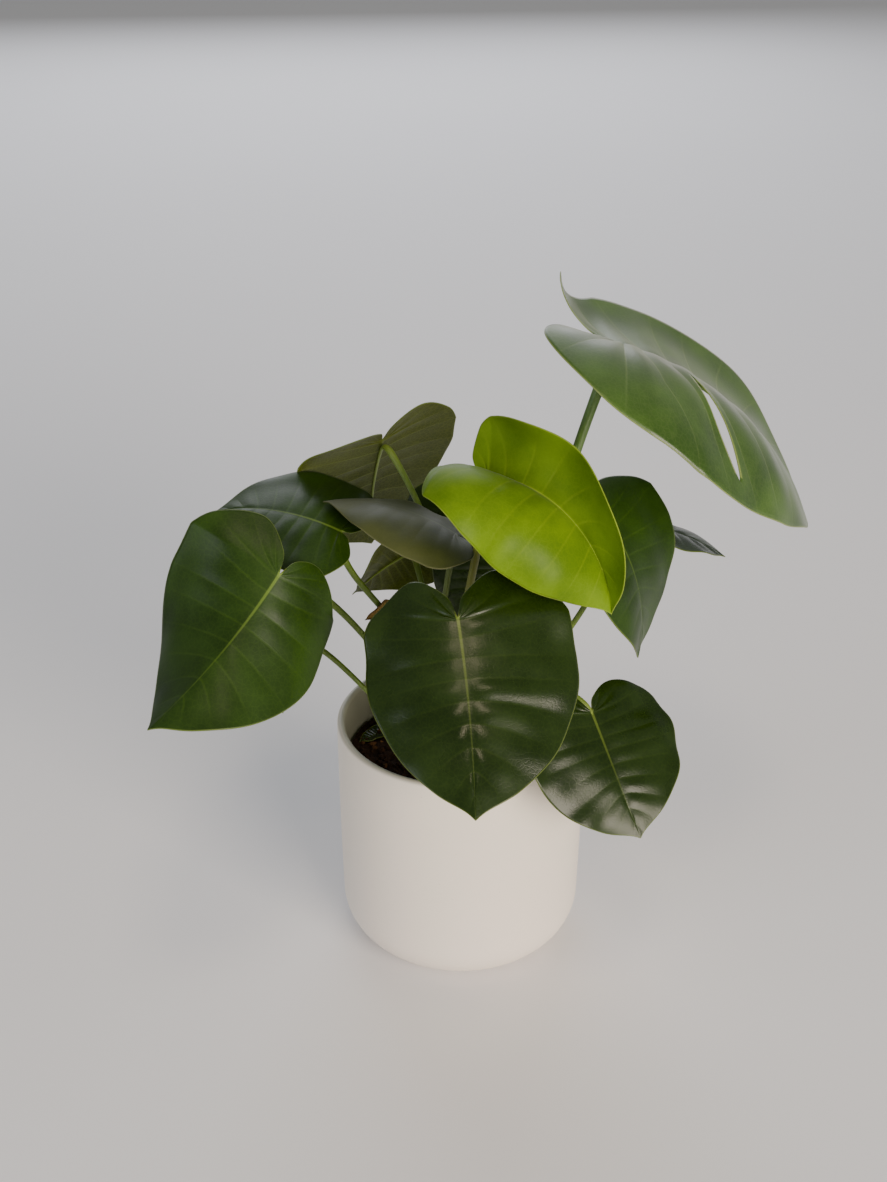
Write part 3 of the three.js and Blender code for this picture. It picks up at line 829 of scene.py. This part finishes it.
leaf_skins = {
    name: [leaf_skin(name, look, True), leaf_skin(name, look, False)]
    for name, look in LOOKS.items()
}
for seed, (leaf_name, leaf) in enumerate(LEAVES.items()):
    sheet_points, sheet_faces, sheet_marks = blade_sheet(leaf, seed + 20)
    skins = leaf_skins[leaf["look"]]
    blade = add_piece("blade_" + leaf_name, sheet_points, sheet_faces, skins, sheet_marks)
    thicken(blade, BLADE_THICKNESS)
    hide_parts("leaf_" + leaf_name)


# ---- Stalks --------------------------------------------------------------------------------------------
# Each leaf's stalk leaves its stem in a widened sheath, arches out, and swells a little where it turns into
# the blade. It runs on under the blade as the midrib, a round ridge that tapers away towards the tip.

STALK_SIDES = 18
CLEARANCE = 0.3
ROOT_STEPS = 4
CLIMB_STEPS = 60
RIB_STEPS = 44
SMOOTHINGS = 6
SHEATH_FLARE = 0.45
JOINT_SWELL = 0.12
RIDGE_SHARE = 0.36
BULGE = 0.3


def stalk_path(leaf):
    """Middle points of the stalk and of the midrib that it becomes, and each one's radius. The stalk is a
    cubic Bezier curve from the stem to below the blade, and the midrib follows the blade's lower face. The
    joins between them are then smoothed, each point moving halfway to the mean of its neighbours."""
    stem_low = np.array(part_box("stem_" + leaf["stem"])[0]) / MM
    stem_middle = stem_middles["stem_" + leaf["stem"]]
    thick = leaf["radius"]
    stem_radius = stem_middle[0] - stem_low[0]
    angle = math.radians(leaf["azimuth"])
    away = (stem_radius + CLEARANCE + thick) * np.array([math.cos(angle), math.sin(angle), 0])
    foot = np.array([stem_middle[0], stem_middle[1], stem_low[2] + leaf["height"]])
    crown = np.array([0, 0, SOIL_TOP])
    start, top_shade, reaching = foot + away, crown + leaf["rise"], crown + leaf["reach"]
    upward = turn_of(leaf)[:, 2]
    under = crown + leaf["at"] - upward * (thick * 0.8 + BLADE_THICKNESS)
    climb = np.linspace(0, 1, CLIMB_STEPS)
    t = climb[:, None]
    risen = (1 - t) ** 3 * start + t**3 * under
    risen += 3 * t * (1 - t) ** 2 * top_shade + 3 * t**2 * (1 - t) * reaching
    root = foot - [0, 0, 3] + away * np.linspace(0.25, 0.8, ROOT_STEPS)[:, None] ** [1, 1, 3]
    along = np.linspace(0.05, 0.9, RIB_STEPS) * leaf["length"]
    ridge = thick * RIDGE_SHARE * (1 - np.linspace(0, 1, RIB_STEPS)) ** 0.8 + 0.22
    rib = place_on_leaf(leaf, np.zeros(RIB_STEPS), along, -0.95 * ridge - KEEL * leaf["quilt"])
    path = np.concatenate([root, risen, rib])
    sheath = SHEATH_FLARE * np.exp(-((climb / 0.14) ** 2))
    joint = JOINT_SWELL * np.exp(-(((climb - 0.96) / 0.05) ** 2))
    girth = np.concatenate([
        np.full(ROOT_STEPS, thick * 1.35),
        thick * (1.02 - 0.18 * np.sin(math.pi * climb) + sheath + joint),
        ridge,
    ])
    for _ in range(SMOOTHINGS):
        path[1:-1] = path[1:-1] * 0.5 + (path[:-2] + path[2:]) * 0.25
        girth[1:-1] = girth[1:-1] * 0.5 + (girth[:-2] + girth[2:]) * 0.25
    return path, girth


def tube(path, girth, sides):
    """A round tube along a path, closed at both ends by a bulge of a share of its girth. Its cross-section
    is turned from point to point by the least turn that keeps it square to the path:
    point + girth · (cos(angle) · u + sin(angle) · v)."""
    ahead = np.gradient(path, axis=0)
    ahead /= np.linalg.norm(ahead, axis=1, keepdims=True)
    side = np.cross(ahead[0], [0.0, 0.0, 1.0])
    u = np.empty_like(path)
    for i, direction in enumerate(ahead):
        side = side - direction * (side @ direction)
        side /= np.linalg.norm(side)
        u[i] = side
    v = np.cross(ahead, u)
    angle = np.arange(sides) * 2 * math.pi / sides
    ring = np.cos(angle)[:, None] * u[:, None] + np.sin(angle)[:, None] * v[:, None]
    wall = (path[:, None] + girth[:, None, None] * ring).reshape(-1, 3)
    ends = [path[0] - ahead[0] * girth[0] * BULGE, path[-1] + ahead[-1] * girth[-1] * BULGE]
    return np.concatenate([wall, ends]), ring_faces(len(path), sides)


def stalk_skin(name, dark, light, joint):
    """Smooth green stalk skin with fine lengthwise streaks and small pale flecks, darker where it leaves
    the stem and yellower at the joint under the blade."""
    material, shader, tree = new_material(f"stalk_skin_{name}", IOR=1.45, Roughness=0.42)
    where = add_node(tree, "TexCoord").outputs["Object"]
    climb = add_node(tree, "Attribute", attribute_name="climb").outputs["Fac"]
    streak = add_node(tree, "Mapping", {"Vector": where, "Scale": (1.0, 1.0, 0.12)})
    grain = add_node(tree, "TexNoise", {
        "Vector": streak.outputs["Vector"], "Scale": per_mm(1.2), "Detail": 3.0,
    })
    flecks = add_node(tree, "TexVoronoi", {"Vector": where, "Scale": per_mm(1.8)})
    spots = add_node(tree, "MapRange", {
        "Value": flecks.outputs["Distance"], "From Min": 0.1, "From Max": 0.22, "To Min": 0.35, "To Max": 0.0,
    })
    green = add_node(tree, "MixRGB", {
        "Fac": grain.outputs["Fac"], "Color1": paint(dark), "Color2": paint(light),
    })
    flecked = add_node(tree, "MixRGB", {
        "Fac": spots.outputs["Result"], "Color1": green.outputs["Color"], "Color2": paint(joint),
    })
    low = add_node(tree, "MapRange", {"Value": climb, "From Max": 0.35, "To Min": 0.6, "To Max": 0.0})
    rooted = add_node(tree, "MixRGB", {
        "Fac": low.outputs["Result"], "Color1": flecked.outputs["Color"], "Color2": paint(dark),
    })
    high = add_node(tree, "MapRange", {"Value": climb, "From Min": 0.85, "To Max": 0.7})
    jointed = add_node(tree, "MixRGB", {
        "Fac": high.outputs["Result"], "Color1": rooted.outputs["Color"], "Color2": paint(joint),
    })
    ridges = add_node(tree, "Bump", {"Height": grain.outputs["Fac"], "Strength": 0.4, "Distance": 0.12 * MM})
    tree.links.new(jointed.outputs["Color"], shader.inputs["Base Color"])
    tree.links.new(ridges.outputs["Normal"], shader.inputs["Normal"])
    return material


stalk_skins = {
    "old": stalk_skin("old", "#3c5010", "#6c8530", "#86993f"),
    "shaded": stalk_skin("shaded", "#3a4a12", "#65772a", "#7f9140"),
    "grown": stalk_skin("grown", "#42590f", "#728c30", "#8a9f44"),
    "largest": stalk_skin("largest", "#43602a", "#6c8a48", "#8ba458"),
    "young": stalk_skin("young", "#555a14", "#7f842a", "#98a440"),
}
for leaf_name, leaf in LEAVES.items():
    path, girth = stalk_path(leaf)
    stalk_points, stalk_faces = tube(path, girth, STALK_SIDES)
    climb = np.clip(np.arange(len(path)) / (ROOT_STEPS + CLIMB_STEPS), 0, 1)
    stalk = add_piece(
        "petiole_" + leaf_name, stalk_points, stalk_faces, [stalk_skins[leaf["look"]]],
        {"climb": np.concatenate([np.repeat(climb, STALK_SIDES), [0.0, 1.0]])},
    )
    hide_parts("stalk_" + leaf_name)


# ---- Fallen leaf and dried sheath ----------------------------------------------------------------------
# A small leaf that dropped on the soil inside the rim, still green, and the papery brown sheath of an old
# leaf, which has dried on to the front of one stalk.

SMALL_SEED = 7
SHEATH_THICKNESS = 0.4
FALLEN_LEAF = dict(
    point=(-133, 0, 0), length=18, width=(6, 6), lobe=0.2, droop=0, sweep=10, twist=0,
    fold=(6, 6), curl=(14, 14), back=(-6, -6), quilt=0.25, wave=0.3,
)
DRIED_SHEATH = dict(
    point=(180, -33, -90), length=20, width=(3.5, 3), lobe=0.1, droop=-12, sweep=0, twist=0,
    fold=(0, 0), curl=(20, 20), back=(0, 0), quilt=0.5, wave=1.2,
)


def stand_in_middle(leaf, node):
    """Puts a small leaf where its CAD node is: the middle of its own box goes to the middle of the node's."""
    loose = dict(leaf, at=(0, 0, 0), ground=0)
    points, _, _ = blade_sheet(loose, SMALL_SEED)
    low, high = (np.array(corner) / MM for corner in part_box(node))
    return dict(loose, at=tuple((low + high) / 2 - (points.min(0) + points.max(0)) / 2))


def dry_sheath():
    """Dead leaf tissue: papery, straw to dark brown in lengthwise bands, dull, with curled darker edges."""
    material, shader, tree = new_material("dried_leaf_sheath", IOR=1.4, Roughness=0.8)
    where = add_node(tree, "TexCoord").outputs["Object"]
    fibres = add_node(tree, "TexNoise", {"Vector": where, "Scale": per_mm(3), "Detail": 6.0})
    out = add_node(tree, "Attribute", attribute_name="out").outputs["Fac"]
    straw = add_node(tree, "MixRGB", {
        "Fac": fibres.outputs["Fac"], "Color1": paint("#6b4a22"), "Color2": paint("#b99a52"),
    })
    edge = add_node(tree, "MapRange", {"Value": out, "From Min": 0.4, "To Max": 0.8})
    brown = add_node(tree, "MixRGB", {
        "Fac": edge.outputs["Result"], "Color1": straw.outputs["Color"], "Color2": paint("#3d2712"),
    })
    creases = add_node(tree, "Bump", {"Height": fibres.outputs["Fac"], "Strength": 0.7, "Distance": 0.3 * MM})
    tree.links.new(brown.outputs["Color"], shader.inputs["Base Color"])
    tree.links.new(creases.outputs["Normal"], shader.inputs["Normal"])
    return material


fallen = stand_in_middle(FALLEN_LEAF, "fallen_leaf")
fallen_points, fallen_faces, fallen_marks = blade_sheet(fallen, SMALL_SEED)
fallen_blade = add_piece(
    "fallen_blade", fallen_points, fallen_faces, leaf_skins["old"], fallen_marks,
)
thicken(fallen_blade, BLADE_THICKNESS)
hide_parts("fallen_leaf")

sheath = stand_in_middle(DRIED_SHEATH, "dried_sheath")
sheath_points, sheath_faces, sheath_marks = blade_sheet(sheath, SMALL_SEED)
papery = dry_sheath()
papery_sheath = add_piece(
    "papery_sheath", sheath_points, sheath_faces, [papery, papery], sheath_marks,
)
thicken(papery_sheath, SHEATH_THICKNESS)
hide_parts("dried_sheath")


# ---- Floor, light and camera ---------------------------------------------------------------------------
# A plain pale floor, soft light from a warm panel at the front right with weaker ones at the front left,
# behind and overhead, and a camera that looks down on the plant from the front.

FLOOR_SIDE = 12.0


def floor_paint():
    """Matt pale grey paint with a hint of lilac."""
    material, shader, tree = new_material("matt_floor_paint", IOR=1.45, Roughness=0.7)
    where = add_node(tree, "TexCoord").outputs["Object"]
    cloud = add_node(tree, "TexNoise", {"Vector": where, "Scale": per_mm(500), "Detail": 2.0})
    tint = add_node(tree, "MixRGB", {
        "Fac": cloud.outputs["Fac"], "Color1": paint("#ecebee"), "Color2": paint("#efeff1"),
    })
    tree.links.new(tint.outputs["Color"], shader.inputs["Base Color"])
    return material


floor_mesh = bpy.data.meshes.new("floor")
corner = FLOOR_SIDE / 2
floor_mesh.from_pydata(
    [(-corner, -corner, 0), (corner, -corner, 0), (corner, corner, 0), (-corner, corner, 0)],
    [], [(0, 1, 2, 3)],
)
floor_mesh.materials.append(floor_paint())
floor = bpy.data.objects.new("floor", floor_mesh)
bpy.context.scene.collection.objects.link(floor)
floor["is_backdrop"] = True

world = bpy.data.worlds.new("studio")
world.use_nodes = True
world.node_tree.nodes["Background"].inputs["Color"].default_value = paint("#eef0f0")
world.node_tree.nodes["Background"].inputs["Strength"].default_value = 0.3
bpy.context.scene.world = world

plant_low, plant_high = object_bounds()
plant_middle = (plant_low + plant_high) / 2


def add_panel(name, place, side, power, tone):
    """A square soft light at a place in metres, turned to face the middle of the plant."""
    lamp = bpy.data.lights.new(name, "AREA")
    lamp.size = side
    lamp.energy = power
    lamp.color = paint(tone)[:3]
    panel = bpy.data.objects.new(name, lamp)
    panel.location = place
    panel.rotation_euler = (plant_middle - panel.location).to_track_quat("-Z", "Y").to_euler()
    bpy.context.scene.collection.objects.link(panel)


add_panel("key_panel", (1.7, -2.6, 1.0), 1.7, 138, "#fff0df")
add_panel("fill_panel", (-2.4, -1.8, 0.8), 1.5, 22, "#f4f6ff")
add_panel("back_panel", (-0.2, 2.6, 1.5), 2.2, 40, "#f6f8ff")
add_panel("top_panel", (0.1, -0.62, 1.7), 0.32, 3.6, "#ffe9c8")

camera = bpy.data.objects.new("camera", bpy.data.cameras.new("camera"))
camera.data.lens = 50.0
camera.data.sensor_width = 36.0
camera.location = (-0.010, -0.783, 0.640)
camera.rotation_euler = (math.radians(90 - 28.2), 0, 0)
bpy.context.scene.collection.objects.link(camera)
bpy.context.scene.camera = camera

bpy.context.view_layer.update()
